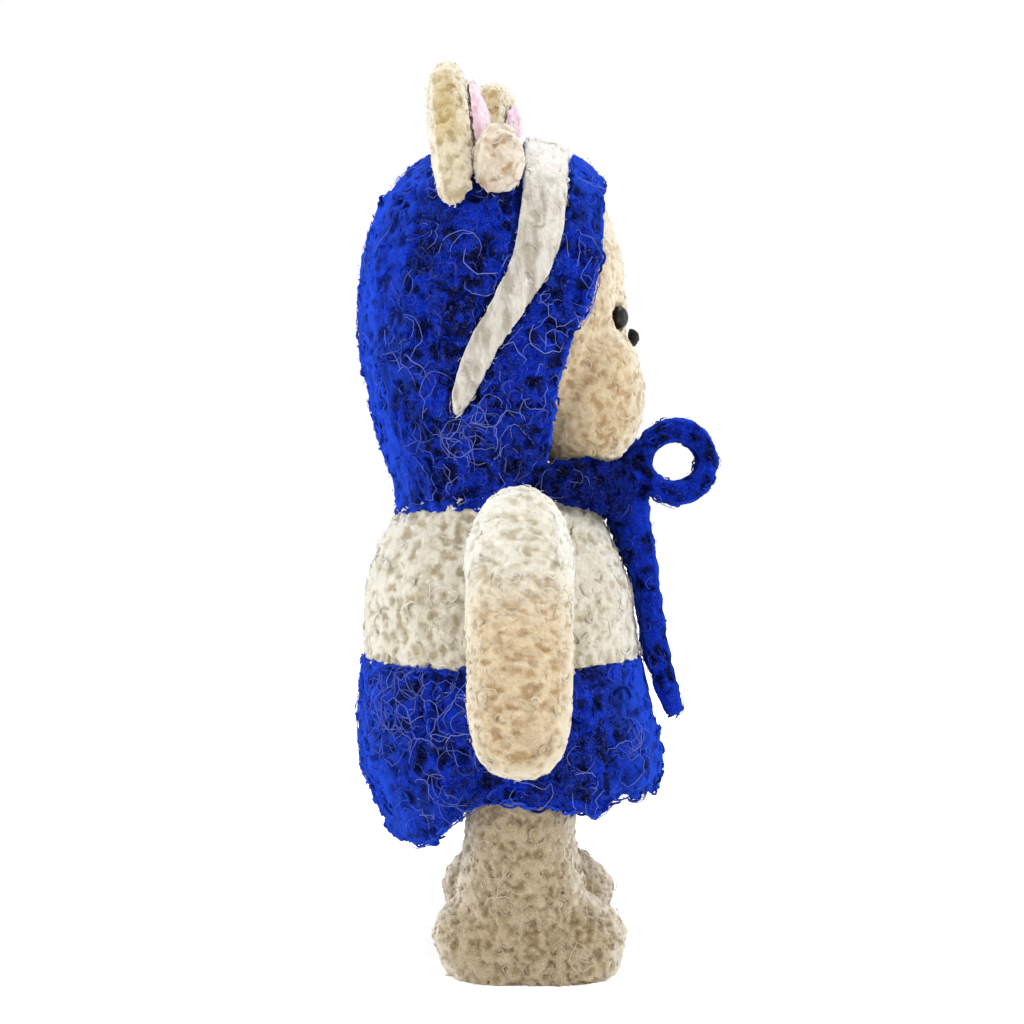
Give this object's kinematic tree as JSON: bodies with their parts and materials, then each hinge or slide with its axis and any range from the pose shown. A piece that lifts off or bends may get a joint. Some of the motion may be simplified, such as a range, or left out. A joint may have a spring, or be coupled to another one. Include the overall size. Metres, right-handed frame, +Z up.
{
  "type": "felt cat ornament",
  "caption": "Standing needle-felted cat doll in a striped bonnet tied with a bow, a white blouse and a flared skirt, with arms that swing at the shoulder.",
  "frame": {"origin": "on the floor, in the middle of the doll's box", "axes": "+Z up, -Y the way the face looks, +X the doll's left side"},
  "size_m": [0.0598, 0.0452, 0.1094],
  "materials": {
    "blue_wool": "royal blue needle-felted wool",
    "cream_wool": "beige needle-felted wool",
    "ivory_wool": "ivory needle-felted wool",
    "white_wool": "off-white needle-felted wool",
    "pink_wool": "pale pink needle-felted wool",
    "nose_wool": "dark grey felted wool",
    "bead": "polished black bead",
    "wire": "bare steel wire"
  },
  "bodies": {
    "body": {"body_core": "cream_wool", "blouse": "white_wool", "skirt": "blue_wool", "head": "cream_wool", "nose": "nose_wool", "bonnet": "blue_wool", "bonnet_stripe": "white_wool", "bow_knot": "blue_wool", "spine_wire": "wire", "shoulder_wire": "wire", "right_cheek": "cream_wool", "right_eye": "bead", "right_ear": "ivory_wool", "right_ear_lining": "pink_wool", "right_ear_fold": "ivory_wool", "right_neck_tie": "blue_wool", "right_bow_loop": "blue_wool", "right_tie_tail": "blue_wool", "right_leg": "cream_wool", "right_foot": "cream_wool", "right_leg_wire": "wire", "left_cheek": "cream_wool", "left_eye": "bead", "left_ear": "ivory_wool", "left_ear_lining": "pink_wool", "left_ear_fold": "ivory_wool", "left_neck_tie": "blue_wool", "left_bow_loop": "blue_wool", "left_tie_tail": "blue_wool", "left_leg": "cream_wool", "left_foot": "cream_wool", "left_leg_wire": "wire"},
    "right_arm": {"right_arm_felt": "cream_wool", "right_sleeve": "white_wool"},
    "left_arm": {"left_arm_felt": "cream_wool", "left_sleeve": "white_wool"}
  },
  "joints": [
    {"name": "right_shoulder", "type": "hinge", "parent": "body", "child": "right_arm", "pos_m": [-0.01966, 0.00237, 0.051], "axis": [-1, 0, 0], "range_deg": [-60, 150]},
    {"name": "left_shoulder", "type": "hinge", "parent": "body", "child": "left_arm", "pos_m": [0.01966, 0.00237, 0.051], "axis": [-1, 0, 0], "range_deg": [-60, 150]}
  ]
}
